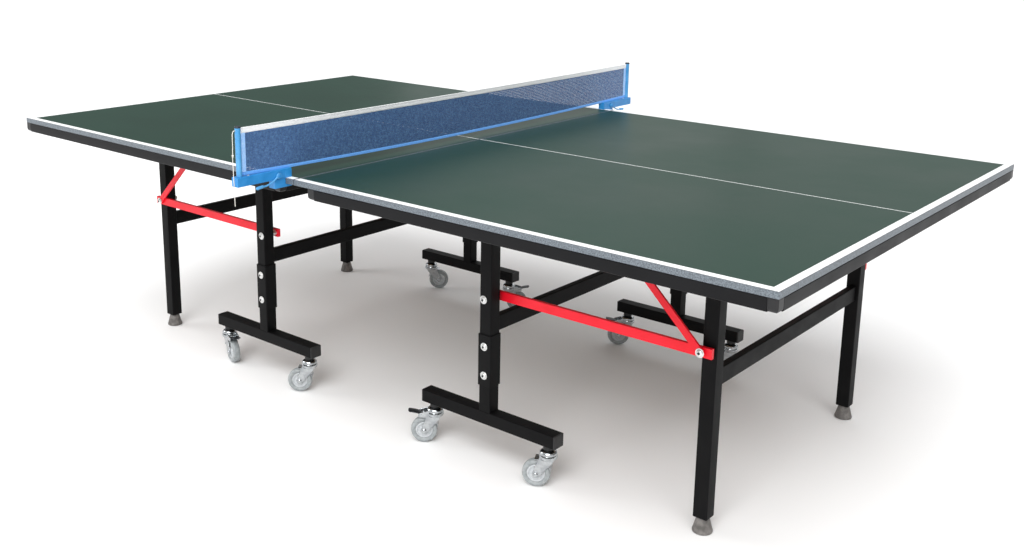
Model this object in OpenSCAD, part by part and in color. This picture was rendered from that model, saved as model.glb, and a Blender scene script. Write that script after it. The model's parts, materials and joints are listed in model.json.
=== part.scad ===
// Folding table tennis table: two wheeled halves that meet under the net.
// Millimetres. X runs along the table, Y across it, Z up from the floor.

/* [Playing top] */
// Length of the whole table along X
table_len = 2740; // [2700:5:2780]
// Width of the table along Y
table_w = 1525; // [1505:5:1545]
// Height of the playing surface above the floor
table_h = 760; // [757:1:763]
// Thickness of the board
board_t = 15; // [13:1:16]
// Gap between the two halves at the net
seam_gap = 3; // [3:0.5:5]
// Thickness of the strip that covers the board's edge
band_t = 2; // [1:0.5:3]

/* [Apron] */
// Height of the steel apron under the board
apron_h = 30; // [24:1:30]
// Width of the apron tube
apron_w = 20; // [16:1:22]
// Distance from the net to the apron's inner rail
apron_start = 55; // [55:1:60]
// Length of a moulded corner cap along each side
cap_len = 24; // [22:1:30]
// Rounding under a corner cap
cap_round = 9; // [4:1:12]

/* [End legs] */
// Side of the square leg tube
leg_w = 38; // [34:1:40]
// Distance of the leg's middle from the net
leg_x = 1068; // [1060:1:1075]
// Distance of the leg's middle from the table's centre line
leg_y = 424; // [418:1:424]
// Height of the bar between the legs
leg_bar_z = 370; // [330:5:420]
// Depth of that bar
leg_bar_h = 45; // [35:1:50]
// Diameter of the foot on the floor
foot_d = 50; // [44:1:50]
// Height of the foot
foot_h = 40; // [34:1:42]

/* [Wheel frames] */
// Side of the square post tube
post_w = 38; // [34:1:38]
// Distance of the post's middle from the net
post_x = 455; // [455:1:458]
// Distance of the post's middle from the table's centre line
post_y = 495; // [495:1:500]
// Height of the post's top end
post_top = 735; // [725:1:738]
// Bottom and top of the height sleeve
sleeve_z = [228, 371];
// Heights of the two sleeve bolts
sleeve_bolt_z = [258, 339];
// Inner and outer end of the wheel bar
wheel_bar_x = [230, 688];
// Bottom of the wheel bar
wheel_bar_z = 118; // [118:1:122]
// Width of the wheel bar
wheel_bar_w = 40; // [36:1:44]
// Depth of the wheel bar
wheel_bar_h = 36; // [32:1:36]
// Bottom of the bar between the posts
post_bar_z = 373; // [373:1:400]
// Depth of that bar
post_bar_h = 43; // [35:1:50]

/* [Casters] */
// Distances of the caster stems from the net
stem_x = [262, 656];
// Diameter of the caster wheel
wheel_d = 75; // [70:1:75]
// Width of the caster wheel
wheel_w = 24; // [20:1:24]
// Distance from the stem to the axle
trail = 30; // [26:1:32]

/* [Stay bars] */
// Height of the long red bar's pivots
bar_z = 467; // [460:1:475]
// Depth of the long red bar
bar_h = 25; // [20:1:25]
// Distance of its pivot on the post from the net
bar_post_x = 449; // [447:1:451]
// Distance of its pivot on the leg from the net
bar_leg_x = 1056; // [1054:1:1060]
// Width of the diagonal strut
strut_w = 17; // [14:1:18]
// Where the strut's glide meets its rail, from the net and from the floor
strut_top = [812, 702];

/* [Net set] */
// Distance of the net post's middle from the table's centre line
net_post_y = 905; // [900:1:907]
// Diameter of the net post
net_post_d = 15; // [12:1:16]
// Height of the net above the table
net_h = 152; // [150:0.5:153]
// Width of the net bracket
bracket_w = 24; // [20:1:26]
// Depth of the net bracket's channel
bracket_h = 25; // [20:1:28]
// Diameter of the net's tension cord
cord_d = 2; // [1.5:0.5:3]

/* [Hidden] */
$fn = 48;

gap = 0.3;            // free space between pieces that don't fasten to each other
weld = 0.1;           // hairline between two tubes of one welded frame
run = 0.06;           // radial clearance of a pin that turns in its bore
wall = 2;             // wall of every steel tube
tube_r = 3;           // corner radius of every steel tube
half_len = table_len / 2;
half_w = table_w / 2;
board_z = table_h - board_t;
apron_z = board_z - apron_h;
seam = seam_gap / 2;

// Fold linkage: the top turns on the post at hinge_in, the leg hangs from hinge_out.
hinge_in = [416, 730];
hinge_out = [hinge_in[0] + bar_leg_x - bar_post_x, hinge_in[1]];
pin_r = 5;
ear_gap = 16;         // thickness of a hinge lug, between its two ears
ear_t = 3;

// Layers of the side linkage, measured from the table's centre line
bar_y = [450, 460];
strut_y = [461, 467];
glide_y = [467.5, 475];
glide_r = 10;
guide_w = 11;         // width of the rail under the top that the glide runs along

leg_out = leg_y + leg_w / 2;
post_in = post_y - post_w / 2;
post_out = post_y + post_w / 2;
bolt_r = 5;
sleeve_bolt_r = 4;
sleeve_w = post_w + 6;
plug_t = 4;
post_split = 300;     // inside the sleeve, where the stub meets the post
lug_r = 10;           // round end of a hinge lug
lug_h = 14;           // height of the lug's neck
ear_r = 9;            // round end of the ears beside a lug
cross_x = [210, 910]; // middles of the cross rails under the board
rail_end = 850;       // outer end of the glide's rail
bar_end = 15;         // how far a stay bar runs past the leg's middle
bar_start = 436;      // inner end of the stay bars
socket_r = 14;
socket_z = wheel_bar_z - 12;
kingpin_r = 5.5;
axle_r = 4;
axle_z = wheel_d / 2;
hub_r = 24;
fork_y = wheel_w / 2 + 1.5;
fork_t = 2.5;
brake_pin = [40, 84];  // brake pivot, along the trail and above the floor

net_x = bracket_w / 2 + 1 - apron_start; // on the left half, where the net clears the right half as it folds
net_top = table_h + net_h;
net_bottom = table_h + bracket_h + 2;
bracket_end = 920;
jaw_in = half_w - 21;
web_out = half_w + 37;
lever_pivot = [half_w + 25, table_h + 10];
tape_h = 15;
hem_h = 9;
side_hem = 14;

// Casters 1 to 4 are on the near side from the left end, 5 to 8 on the far side:
// [distance from the net, side of the table, heading of the trail in degrees]
casters = [
    [-stem_x[1], -1, -18],
    [-stem_x[0], -1, 220],
    [stem_x[0], -1, 220],
    [stem_x[1], -1, 208],
    [-stem_x[1], 1, 40],
    [-stem_x[0], 1, 40],
    [stem_x[0], 1, 220],
    [stem_x[1], 1, 220]
];

// The tension cord's route from the near net post's top to its free end, its X from the net's own plane
cord_route = [
    [0, -913, 905], [0, -916, 906], [0, -920, 903], [0, -922, 896], [1, -923, 885],
    [1, -923, 870], [0, -923, 850], [-1, -923, 830], [0, -923, 810], [1, -924, 790],
    [2, -924, 770], [2, -924, 750], [1, -923, 735], [0, -922, 722], [-1, -921, 710]
];

// ---- shared shapes ----

// Draws its children as they are for the right half, mirrored for the left.
module half(side) {
    mirror([side < 0 ? 1 : 0, 0, 0]) children();
}

// Draws its children on the far side and mirrored on the near side.
module both_sides() {
    for (m = [0, 1]) {
        mirror([0, m, 0]) children();
    }
}

// Rectangle with round corners, centred
module rounded_rect(w, h, r) {
    square([w - 2 * r, h], center = true);
    square([w, h - 2 * r], center = true);
    for (i = [-1, 1], j = [-1, 1]) {
        translate([i * (w / 2 - r), j * (h / 2 - r)]) circle(r = r, $fn = 24);
    }
}

// Hollow tube section, w by h
module tube_section(w, h, t = wall, r = tube_r) {
    difference() {
        rounded_rect(w, h, r);
        rounded_rect(w - 2 * t, h - 2 * t, max(r - t, 0.5));
    }
}

// Tube along Z from z0 to z1, its section w along X by h along Y
module tube_z(w, h, z0, z1) {
    translate([0, 0, z0]) linear_extrude(z1 - z0) tube_section(w, h);
}

// Tube along Y from y0 to y1, w along X by h along Z
module tube_y(w, h, y0, y1) {
    translate([0, y1, 0]) rotate([90, 0, 0]) linear_extrude(y1 - y0) tube_section(w, h);
}

// Tube along X from x0 to x1, w along Y by h along Z
module tube_x(w, h, x0, x1) {
    translate([x0, 0, 0]) rotate([90, 0, 90]) linear_extrude(x1 - x0) tube_section(w, h);
}

// Round rod along Y from y0 to y1
module rod_y(r, y0, y1) {
    translate([0, y0, 0]) rotate([-90, 0, 0]) cylinder(r = r, h = y1 - y0);
}

// Plate in the XZ plane from y0 to y1, from its 2D outline
module plate_y(y0, y1) {
    translate([0, y1, 0]) rotate([90, 0, 0]) linear_extrude(y1 - y0) children();
}

// Outline of a link with round ends: radius ra at a, radius rb at b
module link(a, b, ra, rb) {
    d = norm(b - a);
    heading = atan2(b[1] - a[1], b[0] - a[0]);
    lean = asin((ra - rb) / d);
    function at(c, r, angle) = c + r * [cos(angle), sin(angle)];
    left = heading + 90 - lean;
    right = heading - 90 + lean;
    translate(a) circle(r = ra);
    translate(b) circle(r = rb);
    polygon([at(a, ra, left), at(a, ra, right), at(b, rb, right), at(b, rb, left)]);
}

// Bolt with a domed head that stands out past y, along +Y
module dome_head(r, h) {
    intersection() {
        rotate([-90, 0, 0]) cylinder(r = r, h = h);
        translate([0, h - r * 1.3, 0]) sphere(r = r * 1.3);
    }
}

// ---- wheel frame ----

module wheel_bars(side) {
    color("#161617") half(side) both_sides() {
        mid_z = wheel_bar_z + wheel_bar_h / 2;
        translate([0, post_y, mid_z]) {
            tube_x(wheel_bar_w, wheel_bar_h, wheel_bar_x[0] + plug_t, wheel_bar_x[1] - plug_t);
        }
        translate([post_x, post_y, 0]) difference() {
            tube_z(post_w, post_w, wheel_bar_z + wheel_bar_h + weld, post_split - 1);
            translate([0, 0, sleeve_bolt_z[0]]) rod_y(sleeve_bolt_r + gap, -post_w, post_w);
        }
    }
}

module post_frame(side) {
    color("#1a1a1c") half(side) {
        both_sides() {
            translate([post_x, post_y, 0]) difference() {
                tube_z(post_w, post_w, post_split + 1, post_top);
                translate([bar_post_x - post_x, 0, bar_z]) rod_y(bolt_r + run, -post_w, post_w);
                translate([0, 0, sleeve_bolt_z[1]]) rod_y(sleeve_bolt_r + gap, -post_w, post_w);
            }
            hinge_lug();
        }
        translate([post_x, 0, post_bar_z + post_bar_h / 2]) tube_y(20, post_bar_h, weld - post_in, post_in - weld);
    }
}

// Lug at the post's top that carries the folding hinge
module hinge_lug() {
    difference() {
        plate_y(post_y - ear_gap / 2, post_y + ear_gap / 2) {
            translate(hinge_in) circle(r = lug_r);
            translate([hinge_in[0], hinge_in[1] - lug_r]) {
                square([post_x - post_w / 2 - weld - hinge_in[0], lug_h]);
            }
        }
        translate([hinge_in[0], 0, hinge_in[1]]) rod_y(pin_r + run, post_in, post_out);
    }
}

module height_sleeves(side) {
    color("#121213") half(side) both_sides() {
        translate([post_x, post_y, 0]) difference() {
            translate([0, 0, sleeve_z[0]]) linear_extrude(sleeve_z[1] - sleeve_z[0]) difference() {
                rounded_rect(sleeve_w, sleeve_w, tube_r + 1);
                rounded_rect(post_w + gap, post_w + gap, tube_r);
            }
            for (z = sleeve_bolt_z) {
                translate([0, 0, z]) rod_y(sleeve_bolt_r + gap, -sleeve_w, sleeve_w);
            }
        }
    }
}

module frame_bolts(side) {
    color("#d8d8d6") half(side) both_sides() {
        for (z = sleeve_bolt_z) {
            translate([post_x, post_y + sleeve_w / 2 + weld, z]) {
                rod_y(11, 0, 1.5);
                translate([0, 1.5, 0]) dome_head(8.5, 5);
                rod_y(sleeve_bolt_r, -sleeve_w - 6, 1);
                rod_y(7, -sleeve_w - 6, -sleeve_w - 2 * weld);
            }
        }
        translate([bar_post_x, 0, bar_z]) {
            rod_y(bolt_r, bar_y[0] - 6, post_out + 0.5);
            translate([0, post_out + 0.5, 0]) dome_head(9, 5);
            rod_y(8, bar_y[0] - 6, bar_y[0] - gap);
            rod_y(9, bar_y[1] + gap, post_in - weld);
        }
    }
}

module caster_sockets(side) {
    color("#0f0f10") half(side) both_sides() {
        for (x = stem_x) {
            translate([x, post_y, 0]) difference() {
                translate([0, 0, socket_z]) cylinder(r = socket_r, h = wheel_bar_z - socket_z - weld);
                translate([0, 0, socket_z - 1]) cylinder(r = kingpin_r + run, h = 11);
            }
        }
        for (x = [wheel_bar_x[0], wheel_bar_x[1] - plug_t + weld]) {
            translate([x, post_y, wheel_bar_z + wheel_bar_h / 2]) {
                rotate([90, 0, 90]) linear_extrude(plug_t - weld) rounded_rect(wheel_bar_w, wheel_bar_h, tube_r);
            }
        }
    }
}

// ---- top ----

module board(side) {
    inset = band_t + weld;
    color("#2f4a40") half(side) translate([seam + inset, inset - half_w, board_z]) {
        cube([half_len - seam - 2 * inset, table_w - 2 * inset, board_t]);
    }
}

// Four straight strips round the board
module edge_band(side) {
    len_x = half_len - seam;
    color("#858b96") half(side) translate([seam, 0, board_z]) {
        both_sides() translate([0, half_w - band_t, 0]) cube([len_x, band_t, board_t]);
        for (x = [0, len_x - band_t]) {
            translate([x, band_t + weld - half_w, 0]) cube([band_t, table_w - 2 * band_t - 2 * weld, board_t]);
        }
    }
}

module apron(side) {
    rail_y = half_w - cap_len;
    color("#202022") half(side) translate([0, 0, apron_z + apron_h / 2]) {
        both_sides() translate([0, half_w - apron_w / 2, 0]) {
            tube_x(apron_w, apron_h, apron_start + cap_len, half_len - cap_len);
        }
        for (x = [apron_start, half_len - apron_w]) {
            translate([x + apron_w / 2, 0, 0]) tube_y(apron_w, apron_h, weld - rail_y, rail_y - weld);
        }
    }
}

// Moulded cap over one apron corner: the corner is at the origin, the cap runs towards -X and -Y.
module corner_cap() {
    module profile() {
        r = cap_round;
        translate([-cap_len, r]) square([cap_len, apron_h - r]);
        translate([-cap_len, 0]) square([cap_len - r, apron_h]);
        translate([-r, r]) circle(r = r);
    }
    intersection() {
        translate([0, weld, 0]) rotate([90, 0, 0]) linear_extrude(cap_len + weld) profile();
        rotate([90, 0, 90]) translate([0, 0, -cap_len]) linear_extrude(cap_len + weld) profile();
    }
}

module corner_caps(side) {
    color("#2b2b2d") half(side) both_sides() translate([0, 0, apron_z]) {
        translate([half_len, half_w, 0]) corner_cap();
        translate([apron_start, half_w, 0]) mirror([1, 0, 0]) corner_cap();
    }
}

// Two ears and their base plate under the board, for a lug that is turned on a pin at p
module hinge_bracket(p, y) {
    base_z = board_z - ear_t;
    for (i = [-1, 1]) {
        middle = y + i * (ear_gap / 2 + ear_t / 2 + 0.5);
        difference() {
            plate_y(middle - ear_t / 2, middle + ear_t / 2) {
                translate(p) circle(r = ear_r);
                translate([p[0] - ear_r, p[1]]) square([2 * ear_r, base_z - p[1] - weld]);
            }
            translate([p[0], 0, p[1]]) rod_y(pin_r + 0.05, y - ear_gap, y + ear_gap);
        }
    }
    translate([p[0] - 40, y - 16, base_z]) cube([49, 32, ear_t - weld]);
}

module top_rails(side) {
    rail_y = half_w - apron_w - 1;
    glide_top = strut_top[1] + glide_r + gap;
    color("#1b1b1d") half(side) {
        for (x = cross_x) {
            translate([x, 0, apron_z + apron_h / 2]) tube_y(apron_w, apron_h, -rail_y, rail_y);
        }
        both_sides() {
            hinge_bracket(hinge_in, post_y);
            hinge_bracket(hinge_out, leg_y);
            hinge_pin(hinge_in, post_y);
            hinge_pin(hinge_out, leg_y);
            translate([0, post_in - gap - guide_w / 2, (glide_top + board_z - weld) / 2]) {
                tube_x(guide_w, board_z - weld - glide_top, hinge_in[0] - 8, rail_end);
            }
        }
    }
}

// Pin through both ears and the lug between them
module hinge_pin(p, y) {
    reach = ear_gap / 2 + ear_t + 3;
    translate([p[0], 0, p[1]]) rod_y(pin_r, y - reach, y + reach);
}

// ---- end legs ----

module end_legs(side) {
    plug_z = foot_h + 4;
    inner = leg_x - leg_w / 2;
    color("#1c1c1f") half(side) {
        both_sides() {
            translate([leg_x, leg_y, 0]) difference() {
                tube_z(leg_w, leg_w, plug_z + weld, post_top);
                translate([bar_leg_x - leg_x, 0, bar_z]) rod_y(bolt_r + gap, -leg_w, leg_w);
            }
            translate([leg_x, leg_y, 0]) difference() {
                union() {
                    translate([0, 0, foot_h + 1]) linear_extrude(3) rounded_rect(leg_w, leg_w, tube_r);
                    translate([0, 0, foot_h + 2]) linear_extrude(22) {
                        square(leg_w - 2 * wall - 2 * gap, center = true);
                    }
                }
                translate([0, 0, foot_h]) cylinder(r = pin_r + run, h = 22);
            }
            difference() {
                plate_y(leg_y - ear_gap / 2, leg_y + ear_gap / 2) {
                    translate(hinge_out) circle(r = lug_r);
                    translate([hinge_out[0], hinge_out[1] - lug_r]) {
                        square([inner - weld - hinge_out[0], lug_h]);
                    }
                }
                translate([hinge_out[0], 0, hinge_out[1]]) rod_y(pin_r + run, leg_y - leg_w, leg_y + leg_w);
            }
        }
        translate([leg_x, 0, leg_bar_z + leg_bar_h / 2]) {
            tube_y(20, leg_bar_h, weld - leg_y + leg_w / 2, leg_y - leg_w / 2 - weld);
        }
    }
}

// Levelling foot at one leg: a cone on a threaded stud
module foot(side, bank) {
    color("#3a3a3b") translate([side * leg_x, bank * leg_y, 0]) {
        cylinder(r = foot_d / 2, h = 7);
        translate([0, 0, 7]) cylinder(r1 = foot_d / 2, r2 = 15, h = foot_h - 7);
        translate([0, 0, foot_h - 1]) cylinder(r = pin_r, h = 21);
    }
}

// ---- side linkage ----

module stay_bars(side) {
    color("#e8323f") half(side) both_sides() difference() {
        translate([bar_start, bar_y[0], bar_z - bar_h / 2]) {
            cube([leg_x + bar_end - bar_start, bar_y[1] - bar_y[0], bar_h]);
        }
        for (x = [bar_post_x, bar_leg_x]) {
            translate([x, 0, bar_z]) rod_y(bolt_r + run, bar_y[0] - 1, bar_y[1] + 1);
        }
    }
}

module bar_bolts(side) {
    color("#e4e4e2") half(side) both_sides() translate([bar_leg_x, 0, bar_z]) {
        rod_y(bolt_r, leg_y - leg_w / 2 - 6, strut_y[1] + gap);
        translate([0, strut_y[1] + gap, 0]) dome_head(9, 5);
        rod_y(9, leg_out + gap, bar_y[0] - gap);
        rod_y(8, leg_y - leg_w / 2 - 6, leg_y - leg_w / 2 - gap);
    }
}

module struts(side) {
    foot_at = [bar_leg_x, bar_z];
    color("#e8323f") half(side) both_sides() {
        difference() {
            plate_y(strut_y[0], strut_y[1]) link(foot_at, strut_top, strut_w / 2 + 1, strut_w / 2);
            translate([bar_leg_x, 0, bar_z]) rod_y(bolt_r + run, strut_y[0] - 1, strut_y[1] + 1);
        }
        translate([strut_top[0], 0, strut_top[1]]) rod_y(glide_r, strut_y[1] + weld, glide_y[1]);
    }
}

// ---- casters ----

// Places its children at caster i, with the trail along +X
module at_caster(i) {
    c = casters[i - 1];
    translate([c[0], c[1] * post_y, 0]) rotate([0, 0, c[2]]) children();
}

function braked(i) = i == 1 || i == 3 || i == 6 || i == 7;

// Swivelling fork of pressed steel: domed head, two cheeks, kingpin and axle
module fork(i) {
    head_z = 84;
    head_top = socket_z - gap;
    color("#c9cccf") at_caster(i) {
        translate([0, 0, head_top - 1]) cylinder(r = kingpin_r, h = 10);
        intersection() {
            translate([0, 0, head_z]) sphere(r = 26);
            translate([0, 0, head_z]) cylinder(r = 24, h = head_top - head_z);
        }
        for (j = [-1, 1]) {
            inner = j > 0 ? fork_y : -fork_y - fork_t;
            plate_y(inner, inner + fork_t) {
                link([3, head_z], [trail, axle_z], 15, 10);
                if (braked(i)) link([6, 92], brake_pin, 10, 7);
            }
        }
        translate([trail, 0, axle_z]) {
            rod_y(axle_r, -fork_y - fork_t - 1, fork_y + fork_t + 1);
            translate([0, fork_y + fork_t, 0]) dome_head(7, 4);
            mirror([0, 1, 0]) translate([0, fork_y + fork_t, 0]) dome_head(7, 4);
        }
        if (braked(i)) {
            translate([brake_pin[0], 0, brake_pin[1]]) rod_y(2.5, -fork_y, fork_y);
        }
    }
}

// Wheel: tyre and hub, both true rings on the axle
module wheel(i) {
    color("#b9babd") at_caster(i) translate([trail, 0, axle_z]) rotate([90, 0, 0]) {
        rotate_extrude() {
            translate([(hub_r + wheel_d / 2) / 2, 0]) rounded_rect(wheel_d / 2 - hub_r, wheel_w, 4);
        }
        rotate_extrude() {
            translate([axle_r + run, -wheel_w / 2 + 4]) square([hub_r - gap - axle_r - run, wheel_w - 8]);
            translate([axle_r + run, -wheel_w / 2 - 1]) square([5, wheel_w + 2]);
        }
    }
}

// Foot pedal of the brake, turning on its pin between the fork's cheeks
module pedal(i) {
    w = 2 * fork_y - 2;
    color("#4a4d50") at_caster(i) difference() {
        union() {
            plate_y(-w / 2, w / 2) {
                translate(brake_pin) circle(r = 5);
                translate(brake_pin) rotate(12) translate([0, 1.5]) square([36, 3]);
                translate(brake_pin) rotate(12) translate([36, 3]) circle(r = 3);
            }
        }
        translate([brake_pin[0], 0, brake_pin[1]]) rod_y(2.5 + run, -w, w);
    }
}

// ---- net set ----

module net_posts() {
    foot_z = table_h + bracket_h + gap + weld;
    color("#4f9fd0") both_sides() translate([net_x, net_post_y, foot_z]) difference() {
        cylinder(r = net_post_d / 2, h = net_top - foot_z);
        translate([0, 0, 2]) cylinder(r = net_post_d / 2 - 1.2, h = net_h);
    }
}

module net_post_caps() {
    color("#1d2b3a") both_sides() translate([net_x, net_post_y, net_top + weld]) {
        cylinder(r = net_post_d / 2 + 1, h = 3);
        translate([0, 0, 3]) cylinder(r1 = net_post_d / 2 + 1, r2 = net_post_d / 2 - 1, h = 2);
    }
}

// C-shaped bracket: channel and web outside the table, jaws above and below the left half's board
module net_brackets() {
    w = bracket_w;
    sheet = 2.5;
    z0 = table_h + gap;
    jaw_z = board_z - 9;
    out = half_w + 0.8;
    color("#2b8bd0") translate([net_x, 0, 0]) both_sides() {
        difference() {
            translate([-w / 2, out, z0]) cube([w, bracket_end - out, bracket_h]);
            translate([sheet - w / 2, web_out, z0 - 1]) {
                cube([w - 2 * sheet, bracket_end - web_out - sheet, bracket_h - sheet + 1]);
            }
        }
        difference() {
            translate([-w / 2, out, jaw_z]) cube([w, web_out - out, z0 - weld - jaw_z]);
            translate([sheet - w / 2, out + sheet, jaw_z - 1]) {
                cube([w - 2 * sheet, web_out - out - 2 * sheet, z0 - jaw_z - sheet]);
            }
        }
        translate([-w / 2, jaw_in, z0]) cube([w, out - weld - jaw_in, bracket_h]);
        translate([-w / 2, jaw_in, jaw_z]) cube([w, out - weld - jaw_in, 9 - gap]);
        translate([w / 2 + weld, lever_pivot[0], lever_pivot[1]]) rotate([0, 90, 0]) {
            cylinder(r = 3, h = 7.5);
            translate([0, 0, 6.2]) cylinder(r = 5, h = 2);
        }
    }
}

// Bent lever that tightens one clamp; bank is -1 near and 1 far
module clamp_lever(bank) {
    x0 = net_x + bracket_w / 2 + 1;
    p = lever_pivot;
    knee = p + [34, -17];
    color("#7cc0ea") mirror([0, bank < 0 ? 1 : 0, 0]) translate([x0, 0, 0]) difference() {
        rotate([90, 0, 90]) linear_extrude(5) {
            link(p, knee, 8, 5);
            link(knee, knee + [39, -4], 5, 5);
        }
        translate([-1, p[0], p[1]]) rotate([0, 90, 0]) cylinder(r = 3 + run, h = 8);
    }
}

module net_mesh() {
    edge = net_post_y - net_post_d / 2 - side_hem - 1;
    z0 = net_bottom + hem_h;
    color("#3a4f86") translate([net_x - 0.4, -edge, z0]) cube([0.8, 2 * edge, net_top - tape_h - z0]);
}

// White top tape, blue bottom hem and blue side hems
module net_tapes() {
    edge = net_post_y - net_post_d / 2 - 1;
    z0 = net_bottom + hem_h;
    color("#f4f6fa") translate([net_x - 1, 0, 0]) {
        translate([0, -edge, net_top - tape_h + weld]) cube([2, 2 * edge, tape_h - weld]);
        translate([0, -edge, net_bottom]) cube([2, 2 * edge, hem_h - weld]);
        both_sides() translate([0, edge - side_hem + weld, z0]) {
            cube([2, side_hem - weld, net_top - tape_h - z0]);
        }
    }
}

// Smooth curve through the route: the point at u from a to b, with their neighbours
function between(before, a, b, after, u) =
    a + 0.5 * u * (b - before + u * (2 * before - 5 * a + 4 * b - after + u * (3 * (a - b) + after - before)));

function smooth(route, steps) = [
    for (i = [0 : len(route) - 2], k = [0 : steps - 1])
        between(route[max(i - 1, 0)], route[i], route[i + 1], route[min(i + 2, len(route) - 1)], k / steps),
    route[len(route) - 1]
];

function unit(v) = v / norm(v);

// Round tube of diameter d along a line of points, with flat ends
module tube_along(line, d, sides) {
    last = len(line) - 1;
    rings = [
        for (i = [0 : last])
            let (t = unit(line[min(i + 1, last)] - line[max(i - 1, 0)]))
            let (n = unit(cross(t, [1, 0, 0])))
            let (m = cross(t, n))
            for (k = [0 : sides - 1]) line[i] + d / 2 * (cos(360 * k / sides) * n + sin(360 * k / sides) * m)
    ];
    skin = [
        for (i = [0 : last - 1], k = [0 : sides - 1])
            let (a = i * sides + k, b = i * sides + (k + 1) % sides)
            [a, b, b + sides, a + sides]
    ];
    first_end = [for (k = [0 : sides - 1]) sides - 1 - k];
    last_end = [for (k = [0 : sides - 1]) last * sides + k];
    polyhedron(rings, concat([first_end], skin, [last_end]));
}

module net_cord() {
    color("#f2f2ee") translate([net_x, 0, 0]) tube_along(smooth(cord_route, 3), cord_d, 8);
}

// Everything is drawn here, one line for each node.
wheel_bars(1);  // right_wheel_bars
post_frame(1);  // right_post_frame
height_sleeves(1);  // right_height_sleeves
frame_bolts(1);  // right_frame_bolts
caster_sockets(1);  // right_caster_sockets
board(1);  // right_board
edge_band(1);  // right_edge_band
apron(1);  // right_apron
corner_caps(1);  // right_corner_caps
top_rails(1);  // right_top_rails
end_legs(1);  // right_end_legs
stay_bars(1);  // right_stay_bars
bar_bolts(1);  // right_bar_bolts
struts(1);  // right_struts
wheel_bars(-1);  // left_wheel_bars
post_frame(-1);  // left_post_frame
height_sleeves(-1);  // left_height_sleeves
frame_bolts(-1);  // left_frame_bolts
caster_sockets(-1);  // left_caster_sockets
board(-1);  // left_board
edge_band(-1);  // left_edge_band
apron(-1);  // left_apron
corner_caps(-1);  // left_corner_caps
top_rails(-1);  // left_top_rails
end_legs(-1);  // left_end_legs
stay_bars(-1);  // left_stay_bars
bar_bolts(-1);  // left_bar_bolts
struts(-1);  // left_struts
foot(1, -1);  // foot_right_near
foot(1, 1);  // foot_right_far
foot(-1, -1);  // foot_left_near
foot(-1, 1);  // foot_left_far
fork(1);  // fork_1
fork(2);  // fork_2
fork(3);  // fork_3
fork(4);  // fork_4
fork(5);  // fork_5
fork(6);  // fork_6
fork(7);  // fork_7
fork(8);  // fork_8
wheel(1);  // wheel_1
wheel(2);  // wheel_2
wheel(3);  // wheel_3
wheel(4);  // wheel_4
wheel(5);  // wheel_5
wheel(6);  // wheel_6
wheel(7);  // wheel_7
wheel(8);  // wheel_8
pedal(1);  // pedal_1
pedal(3);  // pedal_3
pedal(6);  // pedal_6
pedal(7);  // pedal_7
net_posts();
net_post_caps();
net_brackets();
clamp_lever(-1);  // clamp_lever_near
clamp_lever(1);  // clamp_lever_far
net_mesh();
net_tapes();
net_cord();
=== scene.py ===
import json
import math
import bpy
import bmesh
from mathutils import Matrix, Vector, noise

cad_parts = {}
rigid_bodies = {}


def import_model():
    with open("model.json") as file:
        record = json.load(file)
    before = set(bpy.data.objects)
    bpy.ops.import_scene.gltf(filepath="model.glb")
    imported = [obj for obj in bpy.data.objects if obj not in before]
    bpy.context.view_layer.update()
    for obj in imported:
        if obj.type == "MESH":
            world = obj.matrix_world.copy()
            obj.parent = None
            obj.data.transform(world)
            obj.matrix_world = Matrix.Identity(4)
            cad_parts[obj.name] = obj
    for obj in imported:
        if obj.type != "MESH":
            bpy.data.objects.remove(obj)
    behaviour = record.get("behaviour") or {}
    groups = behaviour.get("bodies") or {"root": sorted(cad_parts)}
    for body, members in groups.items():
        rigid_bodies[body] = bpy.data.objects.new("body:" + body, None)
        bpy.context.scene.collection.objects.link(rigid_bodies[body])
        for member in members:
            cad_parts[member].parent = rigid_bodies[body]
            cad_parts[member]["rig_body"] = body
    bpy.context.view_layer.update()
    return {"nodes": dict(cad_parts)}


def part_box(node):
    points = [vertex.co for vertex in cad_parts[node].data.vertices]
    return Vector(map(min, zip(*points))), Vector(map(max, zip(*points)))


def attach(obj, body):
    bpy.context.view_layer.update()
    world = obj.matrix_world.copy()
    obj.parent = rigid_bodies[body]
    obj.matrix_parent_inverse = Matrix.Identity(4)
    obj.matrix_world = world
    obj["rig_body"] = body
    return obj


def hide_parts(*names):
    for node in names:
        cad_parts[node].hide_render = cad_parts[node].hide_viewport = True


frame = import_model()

print("frame loaded:", len(frame["nodes"]), "nodes")


cameraView = {
    "frameSize": (1024, 555),             # columns and rows of the view
    "sensor": 36,                         # millimetres wide
    "focal": 1119.3,                      # in the view's columns
    "centre": (476.0, 185.0),             # where the lens axis meets the view
    "place": (2.2123, -2.6478, 1.4309),   # metres
    "yaw": 0.6989,                        # radians, turned from straight across the table
    "pitch": 0.2330,
    "roll": 0.0102,
    "clip": (0.05, 200),
}


def placeCamera(view):
    yaw, pitch, roll = view["yaw"], view["pitch"], view["roll"]
    ahead = Vector((-math.sin(yaw) * math.cos(pitch), math.cos(yaw) * math.cos(pitch), -math.sin(pitch)))
    level = Vector((math.cos(yaw), math.sin(yaw), 0))
    over = level.cross(ahead)
    right = level * math.cos(roll) + over * math.sin(roll)
    up = over * math.cos(roll) - level * math.sin(roll)
    data = bpy.data.cameras.new("tableCamera")
    columns, rows = view["frameSize"]
    data.sensor_width = view["sensor"]
    data.lens = view["focal"] * view["sensor"] / columns
    data.shift_x = (columns / 2 - view["centre"][0]) / columns
    data.shift_y = (view["centre"][1] - rows / 2) / columns
    data.clip_start, data.clip_end = view["clip"]
    camera = bpy.data.objects.new("tableCamera", data)
    turn = Matrix((right, up, -ahead)).transposed()
    camera.matrix_world = Matrix.Translation(view["place"]) @ turn.to_4x4()
    bpy.context.scene.collection.objects.link(camera)
    bpy.context.scene.camera = camera


placeCamera(cameraView)


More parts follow.
